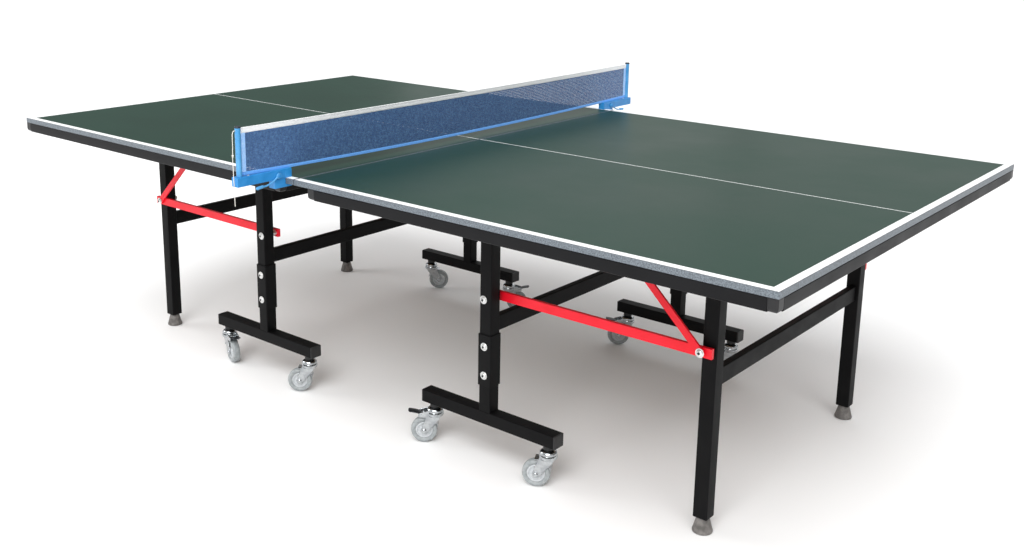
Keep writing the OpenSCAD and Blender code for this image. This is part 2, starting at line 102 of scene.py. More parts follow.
def toLinear(hexColour):
    parts = [int(hexColour[i:i + 2], 16) / 255 for i in (1, 3, 5)]
    return [p / 12.92 if p <= 0.04045 else ((p + 0.055) / 1.055) ** 2.4 for p in parts] + [1]


# Adds a node: settings are its sockets or properties, or a colour ramp's stops; links feed its sockets.
def addNode(tree, kind, settings=None, links=None):
    made = tree.nodes.new(kind)
    for key, value in (settings or {}).items():
        if key == "stops":
            for stop, (position, colour) in zip(made.color_ramp.elements, value):
                stop.position, stop.color = position, colour
        elif key in made.inputs:
            made.inputs[key].default_value = value
        else:
            setattr(made, key, value)
    for key, source in (links or {}).items():
        tree.links.new(source, made.inputs[key])
    return made


def startMaterial(name, sockets):
    made = bpy.data.materials.new(name)
    made.use_nodes = True
    shader = made.node_tree.nodes["Principled BSDF"]
    for key, value in sockets.items():
        shader.inputs[key].default_value = value
    place = addNode(made.node_tree, "ShaderNodeTexCoord").outputs["Object"]
    return made, made.node_tree, shader, place


# Each finish: two close colours in patches, a fine grain that bumps, and a roughness that wanders.
finishes = {
    # polyester powder baked on steel: fine orange peel, satin, nearly black
    "powderCoatedSteel": {"hex": ("#0a0a0b", "#101011"), "patch": 60, "grain": 1.6, "bump": 0.05,
                          "rough": (0.46, 0.56), "IOR": 1.5, "gloss": 0.1},
    # the same coat on the telescoping sleeves, rubbed duller by handling
    "powderCoatedSleeve": {"hex": ("#080809", "#0e0e0f"), "patch": 40, "grain": 1.4, "bump": 0.05,
                           "rough": (0.5, 0.6), "IOR": 1.5, "gloss": 0.13},
    # powder coat on rolled apron tube, a little glossier and greyer
    "powderCoatedApron": {"hex": ("#0f0f11", "#151517"), "patch": 90, "grain": 1.6, "bump": 0.04,
                          "rough": (0.4, 0.5), "IOR": 1.5, "gloss": 0.16},
    # injection moulded nylon: spark-eroded grain, soft sheen
    "mouldedNylonBlack": {"hex": ("#111112", "#18181a"), "patch": 18, "grain": 0.9, "bump": 0.08,
                          "rough": (0.45, 0.6), "IOR": 1.53},
    # corner caps of moulded ABS, a shade paler than the steel beside them
    "mouldedAbsCap": {"hex": ("#171719", "#1e1e20"), "patch": 22, "grain": 0.8, "bump": 0.05,
                      "rough": (0.34, 0.46), "IOR": 1.53, "gloss": 0.35},
    # levelling feet of moulded grey ABS with faint flow marks
    "mouldedAbsFoot": {"hex": ("#55524f", "#797572"), "patch": 14, "grain": 0.8, "bump": 0.06,
                       "rough": (0.4, 0.55), "IOR": 1.53},
    # bright zinc electroplate on button heads and nuts
    "zincPlatedSteel": {"hex": ("#ececea", "#dcdddd"), "patch": 6, "grain": 0.7, "bump": 0.03,
                        "rough": (0.3, 0.44), "metal": 1},
    # the same plate down in a hex recess, painted dark as the shade inside the socket
    "recessPaintedShade": {"hex": ("#58595a", "#6b6c6d"), "patch": 3, "grain": 0.7, "bump": 0.03,
                    "rough": (0.45, 0.6), "metal": 1},
    # chromium plate on pressed steel: mirror-like with slight press waviness
    "chromePlatedPressing": {"hex": ("#c6cacc", "#aaaeb2"), "patch": 12, "grain": 9, "bump": 0.3,
                             "rough": (0.1, 0.22), "metal": 1},
    # blackened pressed steel of the brake pedals
    "pedalSteel": {"hex": ("#2c2f33", "#3b3e42"), "patch": 10, "grain": 1.2, "bump": 0.08,
                   "rough": (0.3, 0.42), "metal": 0.6},
    # sprayed red enamel on flat bar, glossy with slight flow
    "redEnamel": {"hex": ("#fb1730", "#ee0f26"), "patch": 70, "grain": 4, "bump": 0.1,
                  "rough": (0.3, 0.4), "IOR": 1.52, "gloss": 0.3},
    # sprayed blue enamel on the pressed brackets
    "blueEnamel": {"hex": ("#217fc2", "#2e8ccf"), "patch": 30, "grain": 2.5, "bump": 0.08,
                   "rough": (0.3, 0.42), "IOR": 1.52},
    # paler blue enamel on the drawn post tube
    "paleBlueEnamel": {"hex": ("#3f90c8", "#559fd4"), "patch": 30, "grain": 2.5, "bump": 0.08,
                       "rough": (0.3, 0.4), "IOR": 1.52},
    # dark moulded caps on the net posts
    "mouldedCapNavy": {"hex": ("#17202b", "#222d3a"), "patch": 8, "grain": 0.8, "bump": 0.06,
                       "rough": (0.4, 0.5), "IOR": 1.53},
    # cast polyurethane tyre: cloudy grey, lets some light in
    "castPolyurethane": {"hex": ("#8f9496", "#a4a9aa"), "patch": 9, "grain": 1.2, "bump": 0.05,
                         "rough": (0.32, 0.45), "IOR": 1.5, "soft": 0.35, "reach": 0.006},
    # moulded polypropylene wheel core, milky
    "mouldedPolypropylene": {"hex": ("#bcc0c3", "#cdd0d2"), "patch": 9, "grain": 1, "bump": 0.04,
                             "rough": (0.3, 0.42), "IOR": 1.49, "soft": 0.3, "reach": 0.004},
    # screen-printed white line paint on the lacquer, slightly chalky
    "whiteLinePaint": {"hex": ("#fafbfb", "#f1f3f3"), "patch": 35, "grain": 0.9, "bump": 0.05,
                       "rough": (0.4, 0.52), "IOR": 1.48},
    # hot-glued PVC edge strip in metallic grey, brushed look with pale specks
    "silverPvcStrip": {"hex": ("#50585e", "#7d858d"), "patch": 3, "grain": 1.1, "bump": 0.1,
                       "rough": (0.34, 0.5), "IOR": 1.53, "metal": 0.25},
}


def buildFinish(name, facts):
    sockets = {"Metallic": facts.get("metal", 0), "Specular IOR Level": facts.get("gloss", 0.5)}
    if "IOR" in facts:
        sockets["IOR"] = facts["IOR"]
    if "soft" in facts:
        sockets["Subsurface Weight"] = facts["soft"]
        sockets["Subsurface Scale"] = facts["reach"]
        sockets["Subsurface Radius"] = (1, 1, 1)
    made, tree, shader, place = startMaterial(name, sockets)
    patches = addNode(tree, "ShaderNodeTexNoise", {"Scale": 1000 / facts["patch"], "Detail": 4.0},
                      {"Vector": place})
    grain = addNode(tree, "ShaderNodeTexNoise", {"Scale": 1000 / facts["grain"], "Detail": 2.0},
                    {"Vector": place})
    first, second = [toLinear(h) for h in facts["hex"]]
    colour = addNode(tree, "ShaderNodeValToRGB", {"stops": [(0.35, first), (0.65, second)]},
                     {"Fac": patches.outputs["Fac"]})
    tree.links.new(colour.outputs["Color"], shader.inputs["Base Color"])
    low, high = facts["rough"]
    rough = addNode(tree, "ShaderNodeMapRange",
                    {"From Min": 0.3, "From Max": 0.7, "To Min": low, "To Max": high},
                    {"Value": patches.outputs["Fac"]})
    tree.links.new(rough.outputs["Result"], shader.inputs["Roughness"])
    bump = addNode(tree, "ShaderNodeBump", {"Strength": 0.6, "Distance": facts["bump"] / 1000},
                   {"Height": grain.outputs["Fac"]})
    tree.links.new(bump.outputs["Normal"], shader.inputs["Normal"])
    return made


materials = {name: buildFinish(name, facts) for name, facts in finishes.items()}

boardLook = {
    "green": ("#1a382d", "#1f3d32"),     # roller-coated top lacquer
    "under": ("#6b5a47", "#7a6852"),     # sealed fibreboard underneath
    "gloss": 0.22,
    "rough": (0.34, 0.42),
    "stippleMm": 1.1,                    # roller stipple
    "stippleDeep": 0.00006,              # metres
    "fibreMm": 2.5,
}


# Fibreboard: satin green lacquer on top with a roller stipple, brown sealed fibres below.
def buildBoardMaterial(look):
    made, tree, shader, place = startMaterial("lacqueredFibreboard",
                                              {"IOR": 1.45, "Specular IOR Level": look["gloss"]})
    patches = addNode(tree, "ShaderNodeTexNoise", {"Scale": 3.0, "Detail": 5.0}, {"Vector": place})
    stipple = addNode(tree, "ShaderNodeTexNoise", {"Scale": 1000 / look["stippleMm"], "Detail": 2.0},
                      {"Vector": place})
    fibres = addNode(tree, "ShaderNodeTexVoronoi", {"Scale": 1000 / look["fibreMm"]}, {"Vector": place})
    first, second = [toLinear(h) for h in look["green"]]
    top = addNode(tree, "ShaderNodeValToRGB", {"stops": [(0.35, first), (0.65, second)]},
                  {"Fac": patches.outputs["Fac"]})
    first, second = [toLinear(h) for h in look["under"]]
    below = addNode(tree, "ShaderNodeValToRGB", {"stops": [(0.1, first), (0.7, second)]},
                    {"Fac": fibres.outputs["Distance"]})
    facing = addNode(tree, "ShaderNodeSeparateXYZ", None,
                     {"Vector": addNode(tree, "ShaderNodeTexCoord").outputs["Normal"]})
    upward = addNode(tree, "ShaderNodeMath", {"operation": "GREATER_THAN"}, {0: facing.outputs["Z"]})
    upward.inputs[1].default_value = 0.5
    colour = addNode(tree, "ShaderNodeMixRGB", None, {"Fac": upward.outputs["Value"],
                                                      "Color1": below.outputs["Color"],
                                                      "Color2": top.outputs["Color"]})
    tree.links.new(colour.outputs["Color"], shader.inputs["Base Color"])
    low, high = look["rough"]
    rough = addNode(tree, "ShaderNodeMapRange",
                    {"From Min": 0.3, "From Max": 0.7, "To Min": low, "To Max": high},
                    {"Value": patches.outputs["Fac"]})
    tree.links.new(rough.outputs["Result"], shader.inputs["Roughness"])
    bump = addNode(tree, "ShaderNodeBump", {"Strength": 0.5, "Distance": look["stippleDeep"]},
                   {"Height": stipple.outputs["Fac"]})
    tree.links.new(bump.outputs["Normal"], shader.inputs["Normal"])
    return made


materials["lacqueredFibreboard"] = buildBoardMaterial(boardLook)

# Woven finishes: two crossed sets of threads, with the spacing in millimetres.
weaves = {
    # white cotton tape folded over the head line
    "wovenCottonTape": {"hex": ("#fdfdfd", "#edeff2"), "thread": 1.2, "sheen": 0.2, "rough": 0.85},
    # blue polyester hem, brighter than the mesh
    "wovenPolyesterHem": {"hex": ("#69aef4", "#5599e8"), "thread": 1.2, "sheen": 0.3, "rough": 0.7},
    # pale blue side hems
    "wovenPaleHem": {"hex": ("#b9dcff", "#8abdfa"), "thread": 1.2, "sheen": 0.3, "rough": 0.7},
    # knitted polyester mesh yarn
    "knittedPolyesterYarn": {"hex": ("#5f8dbd", "#233f75"), "thread": 0.8, "sheen": 0.06, "rough": 0.75},
    # twisted cotton cord
    "twistedCottonCord": {"hex": ("#f2f0ea", "#d8d5cc"), "thread": 0.5, "sheen": 0.2, "rough": 0.85},
}


def buildWeave(name, facts):
    made, tree, shader, place = startMaterial(name, {
        "Roughness": facts["rough"], "Sheen Weight": facts["sheen"], "IOR": 1.5})
    turns = math.pi / 10 * 1000 / facts["thread"]   # one wave to a thread
    heights = []
    for way in ("Y", "Z"):
        threads = addNode(tree, "ShaderNodeTexWave", {"bands_direction": way, "Scale": turns,
                                                      "Distortion": 0.6, "Detail": 1.0}, {"Vector": place})
        heights.append(threads.outputs["Fac"])
    both = addNode(tree, "ShaderNodeMath", {"operation": "MULTIPLY"}, {0: heights[0], 1: heights[1]})
    fuzz = addNode(tree, "ShaderNodeTexNoise", {"Scale": 160.0, "Detail": 3.0}, {"Vector": place})
    first, second = [toLinear(h) for h in facts["hex"]]
    tone = addNode(tree, "ShaderNodeMath", {"operation": "ADD"},
                   {0: both.outputs["Value"], 1: fuzz.outputs["Fac"]})
    colour = addNode(tree, "ShaderNodeValToRGB", {"stops": [(0.5, second), (1.0, first)]},
                     {"Fac": tone.outputs["Value"]})
    tree.links.new(colour.outputs["Color"], shader.inputs["Base Color"])
    bump = addNode(tree, "ShaderNodeBump", {"Strength": 0.5, "Distance": 0.00025},
                   {"Height": both.outputs["Value"]})
    tree.links.new(bump.outputs["Normal"], shader.inputs["Normal"])
    return made


for weaveName, weaveFacts in weaves.items():
    materials[weaveName] = buildWeave(weaveName, weaveFacts)
print("materials made:", len(materials))


def finishPiece(name, shape, finish, body, stands=(), place=None, sharp=35):
    bmesh.ops.remove_doubles(shape, verts=shape.verts, dist=0.000002)
    bmesh.ops.recalc_face_normals(shape, faces=shape.faces)
    for face in shape.faces:
        face.smooth = True
    for edge in shape.edges:
        if len(edge.link_faces) == 2 and edge.calc_face_angle(0) > math.radians(sharp):
            edge.smooth = False
    data = bpy.data.meshes.new(name)
    shape.to_mesh(data)
    shape.free()
    piece = bpy.data.objects.new(name, data)
    bpy.context.scene.collection.objects.link(piece)
    for one in ([finish] if isinstance(finish, str) else finish):
        data.materials.append(materials[one])
    if place is not None:
        piece.matrix_world = place
    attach(piece, body)
    if stands:
        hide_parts(*stands)
    return piece


tableSides = (("right", 1), ("left", -1))        # along X
rowBanks = (("near", -1), ("far", 1))            # along Y


# Radius of a regular outline with so many flats, as a share of its corners' radius.
def flatShare(angle, flats):
    return math.cos(math.pi / flats) / math.cos(angle % (2 * math.pi / flats) - math.pi / flats)


# Adds a turned shape: profile is (radius, height) pairs along axis Z of the given matrix,
# with a third number where a ring has that many flats.
def addTurned(shape, profile, matrix=Matrix.Identity(4), steps=32, slotIndex=0):
    rings = []
    for radius, height, *flats in profile:
        if radius < 1e-7:
            rings.append([shape.verts.new(matrix @ Vector((0, 0, height)))])
            continue
        ring = []
        for k in range(steps):
            angle = 2 * math.pi * k / steps
            reach = radius * (flatShare(angle, flats[0]) if flats else 1)
            corner = Vector((reach * math.cos(angle), reach * math.sin(angle), height))
            ring.append(shape.verts.new(matrix @ corner))
        rings.append(ring)
    for lower, upper in zip(rings, rings[1:]):
        for k in range(steps):
            n = (k + 1) % steps
            corners = []
            for ring, index in ((lower, k), (lower, n), (upper, n), (upper, k)):
                vert = ring[index if len(ring) > 1 else 0]
                if vert not in corners:
                    corners.append(vert)
            if len(corners) > 2:
                shape.faces.new(corners).material_index = slotIndex


# Joins rings of equal count into a skin, with a cap at each end unless it closes on itself.
def joinRings(shape, rings, slotIndex=0, closed=False):
    sides = len(rings[0])
    pairs = list(zip(rings, rings[1:])) + ([(rings[-1], rings[0])] if closed else [])
    for lower, upper in pairs:
        for k in range(sides):
            n = (k + 1) % sides
            shape.faces.new((lower[k], lower[n], upper[n], upper[k])).material_index = slotIndex
    if not closed:
        for cap in (list(reversed(rings[0])), rings[-1]):
            shape.faces.new(cap).material_index = slotIndex


# Adds a tube along points; ripple(angle, distance walked) may vary its radius.
def addTube(shape, points, radius, sides=10, closed=False, slotIndex=0, ripple=None):
    points = [Vector(p) for p in points]
    count = len(points)
    across, rings, walked = None, [], 0.0
    for i, point in enumerate(points):
        before = points[(i - 1) % count] if closed or i else point
        after = points[(i + 1) % count] if closed or i < count - 1 else point
        ahead = (after - before).normalized()
        if across is None:
            across = ahead.orthogonal().normalized()
        across = (across - ahead * across.dot(ahead)).normalized()
        side = ahead.cross(across)
        walked += (point - points[i - 1]).length if i else 0
        ring = []
        for k in range(sides):
            angle = 2 * math.pi * k / sides
            r = radius * (ripple(angle, walked) if ripple else 1)
            ring.append(shape.verts.new(point + (across * math.cos(angle) + side * math.sin(angle)) * r))
        rings.append(ring)
    joinRings(shape, rings, slotIndex, closed)


# Adds a flat plate: outline is a list of 2D points, from depth low to high along the matrix's Z.
def addPlate(shape, outline, low, high, matrix=Matrix.Identity(4), edge=0.0, slotIndex=0):
    levels = [(low, 0), (high, 0)]
    if edge:
        levels = [(low, edge), (low + edge, 0), (high - edge, 0), (high, edge)]
    centre = sum((Vector(p) for p in outline), Vector((0, 0))) / len(outline)
    rings = []
    for depth, inset in levels:
        ring = []
        for p in outline:
            p = Vector(p)
            inward = centre - p
            p = p + inward.normalized() * min(inset, inward.length * 0.5)
            ring.append(shape.verts.new(matrix @ Vector((p.x, p.y, depth))))
        rings.append(ring)
    joinRings(shape, rings, slotIndex)


# Adds a plain block between two corners.
def addBlock(shape, low, high):
    outline = [(low[0], low[1]), (high[0], low[1]), (high[0], high[1]), (low[0], high[1])]
    addPlate(shape, outline, low[2], high[2])


# Outline of a bar with round ends: radius ra at a, rb at b.
def linkOutline(a, b, ra, rb, steps=14):
    a, b = Vector(a), Vector(b)
    heading = math.atan2(b.y - a.y, b.x - a.x)
    lean = math.asin((ra - rb) / (b - a).length)
    points = []
    for centre, radius, start, sweep in ((b, rb, heading - math.pi / 2 + lean, math.pi - 2 * lean),
                                         (a, ra, heading + math.pi / 2 - lean, math.pi + 2 * lean)):
        for k in range(steps + 1):
            angle = start + sweep * k / steps
            points.append((centre.x + radius * math.cos(angle), centre.y + radius * math.sin(angle)))
    return points


def smoothRoute(route, steps):
    points = []
    for i in range(len(route) - 1):
        last = len(route) - 1
        before, a, b, after = [Vector(route[j]) for j in (max(i - 1, 0), i, i + 1, min(i + 2, last))]
        for k in range(steps):
            u = k / steps
            points.append(a + 0.5 * u * (b - before + u * (2 * before - 5 * a + 4 * b - after
                                                           + u * (3 * (a - b) + after - before))))
    points.append(Vector(route[-1]))
    return points


alongY = Matrix.Rotation(-math.pi / 2, 4, "X")   # turns a shape's Z to the row's Y
netX = sum(corner.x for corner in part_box("net_posts")) / 2   # the net set's own plane


# Free cord of the net's head line: out of the near post's top, down beside it, its end hanging bare.
tensionCord = {
    "route": [
        (0, -0.913, 0.905), (0, -0.916, 0.906), (0, -0.920, 0.903), (0, -0.922, 0.896),
        (0.001, -0.923, 0.885), (0.001, -0.923, 0.870), (0, -0.923, 0.850), (-0.001, -0.923, 0.830),
        (0, -0.923, 0.810), (0.001, -0.924, 0.790), (0.002, -0.924, 0.770), (0.002, -0.924, 0.750),
        (0.001, -0.923, 0.735), (0, -0.922, 0.722), (-0.001, -0.921, 0.710),
    ],
    "length": 0.202,
    "diameter": 0.002,
    "plies": 3,
    "turnLength": 0.006,                  # one twist of the plies
    "knotAt": (-0.0004, -0.923, 0.842),
    "knotLoop": 0.0011,                   # size of the knot's turns
}


def makeCord(facts):
    line = [point + Vector((netX, 0, 0)) for point in smoothRoute(facts["route"], 8)]
    plies, turnLength = facts["plies"], facts["turnLength"]

    def twist(angle, walked):
        return 0.92 + 0.1 * math.cos(plies * (angle - 2 * math.pi * walked / turnLength / plies))

    shape = bmesh.new()
    addTube(shape, line, facts["diameter"] / 2, 12, ripple=twist)
    cord = finishPiece("netTensionCord", shape, "twistedCottonCord", "left_top", ["net_cord"])
    at = Vector((netX, 0, 0)) + Vector(facts["knotAt"])
    knotLine = []
    for k in range(60):
        t = 2 * math.pi * k / 60
        trefoil = Vector((math.sin(t) + 2 * math.sin(2 * t), -math.sin(3 * t) * 1.1,
                          (math.cos(t) - 2 * math.cos(2 * t)) * 0.9))
        knotLine.append(at + facts["knotLoop"] * trefoil)
    shape = bmesh.new()
    addTube(shape, knotLine, facts["diameter"] * 0.42, 10, closed=True)
    knot = finishPiece("netCordKnot", shape, "twistedCottonCord", "left_top")


makeCord(tensionCord)
print("cord made")


# Takes a node's own surface, merges its flat faces and rounds its hard edges, and stands for the node.
def refineNode(node, finish, rounding, steps=2, pieceName=None):
    source = frame["nodes"][node]
    shape = bmesh.new()
    shape.from_mesh(source.data)
    bmesh.ops.remove_doubles(shape, verts=shape.verts, dist=0.00001)
    bmesh.ops.dissolve_limit(shape, angle_limit=math.radians(1), verts=shape.verts, edges=shape.edges,
                             delimit=set())
    body = source["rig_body"]
    piece = finishPiece(pieceName or node + "_finished", shape, finish, body, [node])
    if rounding:
        bevel = piece.modifiers.new("softEdges", "BEVEL")
        bevel.width, bevel.segments = rounding, steps
        bevel.limit_method, bevel.angle_limit = "ANGLE", math.radians(50)
        bevel.harden_normals = True
        bevel.use_clamp_overlap = True
    return piece


nodeFinish = {
    "wheel_bars": ("powderCoatedSteel", 0.0006, "frame_steel"),
    "post_frame": ("powderCoatedSteel", 0.0006, "frame_steel"),
    "height_sleeves": ("powderCoatedSleeve", 0.0006, "sleeve_steel"),
    "caster_sockets": ("mouldedNylonBlack", 0.0008, "socket_plastic"),
    "board": ("lacqueredFibreboard", 0, "playing_board"),
    "edge_band": ("silverPvcStrip", 0.0005, "edge_strip"),
    "apron": ("powderCoatedApron", 0, "apron_steel"),
    "corner_caps": ("mouldedAbsCap", 0.0015, "corner_plastic"),
    "top_rails": ("powderCoatedSteel", 0.0004, "frame_steel"),
    "end_legs": ("powderCoatedSteel", 0.0006, "frame_steel"),
    "stay_bars": ("redEnamel", 0.0012, "stay_steel"),
    "struts": ("redEnamel", 0.001, "stay_steel"),
}
for side in ("right", "left"):
    for part, (finish, rounding, slotName) in nodeFinish.items():
        refineNode(side + "_" + part, finish, rounding)
print("frames and top finished")


lineFacts = {
    "border": 0.020,      # side and end lines
    "middle": 0.003,      # centre line along the table
    "thick": 0.00015,
}


def makeLines(facts):
    for side, sign in tableSides:
        low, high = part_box(side + "_board")
        shape = bmesh.new()
        z = high.z
        inner = low.x if sign > 0 else high.x
        outer = high.x if sign > 0 else low.x
        endIn = outer - sign * facts["border"]
        strips = [
            (inner, outer, low.y, low.y + facts["border"]),
            (inner, outer, high.y - facts["border"], high.y),
            (endIn, outer, low.y + facts["border"], high.y - facts["border"]),
            (inner, endIn, -facts["middle"] / 2, facts["middle"] / 2),
        ]
        for x0, x1, y0, y1 in strips:
            addBlock(shape, (min(x0, x1), y0, z), (max(x0, x1), y1, z + facts["thick"]))
        finishPiece(side + "LinePaint", shape, "whiteLinePaint", side + "_top")


makeLines(lineFacts)


boltFacts = {
    "socketAcross": 0.0034,   # hex recess, half across corners, in a head of radius socketHead
    "socketHead": 0.0085,
    "headHigh": 0.0045,
    "washer": 0.0015,
    "nut": (0.0002, 0.0052),  # the nut's faces, from the shank's end
    "sleeveBolt": {"x": 0.455, "y": 0.5171, "heights": (0.258, 0.339), "head": 0.0085, "shank": 0.004,
                   "reach": 0.0500, "wide": 0.011},
    "postPivot": {"x": 0.449, "y": 0.5143, "heights": (0.467,), "head": 0.009, "shank": 0.005,
                  "reach": 0.0700, "wide": 0.01125, "spacerY": 0.4682,
                  "spacer": [(0, -0.0077), (0.0085, -0.0077), (0.009, -0.007), (0.009, 0.007),
                             (0.0085, 0.0077), (0, 0.0077)]},
    "barPivot": {"x": 1.056, "y": 0.4673, "heights": (0.467,), "head": 0.009, "shank": 0.005,
                 "reach": 0.0680, "wide": 0.01125, "spacerY": 0.4465,
                 "spacer": [(0, -0.0032), (0.009, -0.0032), (0.009, 0.0032), (0, 0.0032)]},
}


# Button head with a hex recess on a washer, facing out from its seat; its shank runs back to a nut.
def addButtonBolt(shape, seat, bolt, facing, facts):
    turn = Matrix.Translation(seat) @ (alongY if facing > 0 else Matrix.Rotation(math.pi / 2, 4, "X"))
    base, wide, head, reach = facts["washer"], bolt["wide"], bolt["head"], bolt["reach"]
    recess = facts["socketAcross"] * head / facts["socketHead"]
    dome = []
    for k in range(7):
        angle = math.radians(8 + 11 * k)
        dome.append((head * math.cos(angle), base + facts["headHigh"] * math.sin(angle)))
    profile = [(0, 0), (wide * 0.97, 0), (wide, base * 0.3), (wide, base * 0.8), (wide * 0.97, base),
               (head, base), *dome]
    rim = dome[-1][1]
    profile = [p for p in profile if p[0] > recess or p[0] == 0]
    mouth = (recess * 1.12, rim)
    hexEdge = (recess * 1.04, rim - 0.0002, 6)
    addTurned(shape, profile + [mouth], turn, 36)
    addTurned(shape, [mouth, hexEdge], turn, 36)
    # the recess walls take the second slot, whose dark colour is painted shade in the socket
    addTurned(shape, [hexEdge, (recess, base + 0.0008, 6), (0, base + 0.0006)], turn, 36, 1)
    addTurned(shape, [(0, 0), (bolt["shank"], 0), (bolt["shank"], -reach), (0, -reach)], turn, 20)
    across = head * 0.95
    nut = [(across * math.cos(math.pi / 3 * k), across * math.sin(math.pi / 3 * k)) for k in range(6)]
    addPlate(shape, nut, facts["nut"][0] - reach, facts["nut"][1] - reach, turn, 0.0007)


boltSets = (
    ("FrameBolts", "_carriage", "_frame_bolts", ("sleeveBolt", "postPivot")),
    ("BarBolts", "_bars", "_bar_bolts", ("barPivot",)),
)


def makeBolts(facts):
    for side, sign in tableSides:
        for pieceName, body, node, kinds in boltSets:
            shape = bmesh.new()
            for bank in (-1, 1):
                for bolt in [facts[kind] for kind in kinds]:
                    for z in bolt["heights"]:
                        addButtonBolt(shape, (sign * bolt["x"], bank * bolt["y"], z), bolt, bank, facts)
                        if "spacer" in bolt:
                            at = Matrix.Translation((sign * bolt["x"], bank * bolt["spacerY"], z)) @ alongY
                            addTurned(shape, bolt["spacer"], at, 28)
            # second slot: the hex recesses, painted dark as their shade
            finishPiece(side + pieceName, shape, ["zincPlatedSteel", "recessPaintedShade"], side + body,
                        [side + node])


makeBolts(boltFacts)
print("bolts made")


footFacts = {
    "place": (1.068, 0.424),
    "profile": [(0, 0), (0.0225, 0), (0.0247, 0.0012), (0.025, 0.003), (0.025, 0.0055), (0.0243, 0.0072),
                (0.0228, 0.012), (0.0208, 0.019), (0.0187, 0.027), (0.0166, 0.0335), (0.0156, 0.0372),
                (0.0148, 0.0388), (0.0132, 0.0395), (0, 0.0395)],
    "studRadius": 0.0048,
    "studFoot": 0.0393,
    "studTop": 0.059,
    "pitch": 0.002,
    "threadDeep": 0.0006,
}


def makeFeet(facts):
    x, y = facts["place"]
    for side, sign in tableSides:
        for name, bank in rowBanks:
            shape = bmesh.new()
            at = Matrix.Translation((sign * x, bank * y, 0))
            addTurned(shape, facts["profile"], at, 40)
            z = facts["studFoot"]
            thread = [(0, z)]
            while z < facts["studTop"]:
                thread.append((facts["studRadius"], z))
                thread.append((facts["studRadius"] - facts["threadDeep"], z + facts["pitch"] / 2))
                z += facts["pitch"]
            thread.append((0, thread[-1][1]))
            addTurned(shape, thread, at, 20, 1)
            node = f"foot_{side}_{name}"
            finishPiece(node + "_moulded", shape, ["mouldedAbsFoot", "zincPlatedSteel"], node,
                        [node])


makeFeet(footFacts)
print("feet made")


# Casters. Profiles are (radius, height) pairs, in metres, turned round their own axis.
casterFacts = {
    "stem": [(-0.656, -1, -18), (-0.262, -1, 220), (0.262, -1, 220), (0.656, -1, 208),
             (-0.656, 1, 40), (-0.262, 1, 40), (0.262, 1, 220), (0.656, 1, 220)],   # x, bank, heading
    "lane": 0.495,            # stems' distance from the centre line
    "braked": (1, 3, 6, 7),
    "trail": 0.030,
    "axle": 0.0375,
    "pin": (0.040, 0.084),
    "voxel": 0.0009,
    "relax": 5,               # rounds of smoothing on the pressed skin
    "head": [(0, 0.080), (0.0225, 0.080), (0.0245, 0.0835), (0.0248, 0.088), (0.0236, 0.092),
             (0.0226, 0.0935), (0.0232, 0.0955), (0.0228, 0.0985), (0.0205, 0.1015), (0.0165, 0.1040),
             (0.0110, 0.1056), (0, 0.1056)],
    "cheek": (0.0136, 0.0162),            # its inner and outer face
    "cheekThick": 0.0026,
    "hood": (0.0402, 0.0430, 0.0155),     # inner and outer radius, half width
    "hoodArc": (84, 162, 24),             # first and last degree, steps
    "axleBolt": [(0, -0.0168), (0.004, -0.0168), (0.004, 0.0168), (0, 0.0168)],
    "axleNut": [(0, 0.0160), (0.0078, 0.0160), (0.0078, 0.0168), (0.0066, 0.0170), (0.0064, 0.0186),
                (0.0052, 0.0200), (0.0030, 0.0207), (0, 0.0209)],
    "kingpin": [(0, 0.1050), (0.0054, 0.1050), (0.0054, 0.1145), (0, 0.1145)],
    "brakePin": [(0, -0.0172), (0.0040, -0.0172), (0.0040, -0.0160), (0.0024, -0.0160),
                 (0.0024, 0.0160), (0.0040, 0.0160), (0.0040, 0.0172), (0, 0.0172)],
}


def casterPlace(index):
    x, bank, heading = casterFacts["stem"][index - 1]
    at = Matrix.Translation((x, bank * casterFacts["lane"], 0))
    return at @ Matrix.Rotation(math.radians(heading), 4, "Z")


# Fuses overlapping closed shapes into one pressed-looking skin.
def fuse(shape, voxel, rounds):
    data = bpy.data.meshes.new("fuseWork")
    shape.to_mesh(data)
    shape.free()
    work = bpy.data.objects.new("fuseWork", data)
    bpy.context.scene.collection.objects.link(work)
    remesh = work.modifiers.new("fuse", "REMESH")
    remesh.mode, remesh.voxel_size = "VOXEL", voxel
    relax = work.modifiers.new("relax", "SMOOTH")
    relax.factor, relax.iterations = 0.5, rounds
    thin = work.modifiers.new("thin", "DECIMATE")
    thin.ratio = 0.35
    bpy.context.view_layer.update()
    result = bmesh.new()
    evaluated = work.evaluated_get(bpy.context.evaluated_depsgraph_get())
    result.from_mesh(bpy.data.meshes.new_from_object(evaluated))
    bpy.data.objects.remove(work)
    return result


def forkShape(braked):
    facts = casterFacts
    shape = bmesh.new()
    # swivel head: rolled race with a shallow dome above
    addTurned(shape, facts["head"], steps=48)
    xzPlane = Matrix.Rotation(math.pi / 2, 4, "X")
    wheelCentre = (facts["trail"], facts["axle"])
    for bank in (-1, 1):
        low = -facts["cheek"][1] if bank > 0 else facts["cheek"][0]
        high = low + facts["cheekThick"]
        addPlate(shape, linkOutline((0.003, 0.082), wheelCentre, 0.0185, 0.0098, 20), low, high, xzPlane)
        if braked:
            addPlate(shape, linkOutline((0.006, 0.088), facts["pin"], 0.0125, 0.0072, 16), low, high, xzPlane)
    # hood over the wheel: part of a ring round the axle, joined to both cheeks
    inner, outer, half = facts["hood"]
    first, last, steps = facts["hoodArc"]
    rings = []
    for k in range(steps + 1):
        angle = math.radians(first + (last - first) * k / steps)
        ring = []
        for radius, depth in ((outer, -half), (outer, half), (inner, half), (inner, -half)):
            corner = Vector((facts["trail"] + radius * math.cos(angle),
                             facts["axle"] + radius * math.sin(angle), depth))
            ring.append(shape.verts.new(xzPlane @ corner))
        rings.append(ring)
    joinRings(shape, rings)
    return fuse(shape, facts["voxel"], facts["relax"])


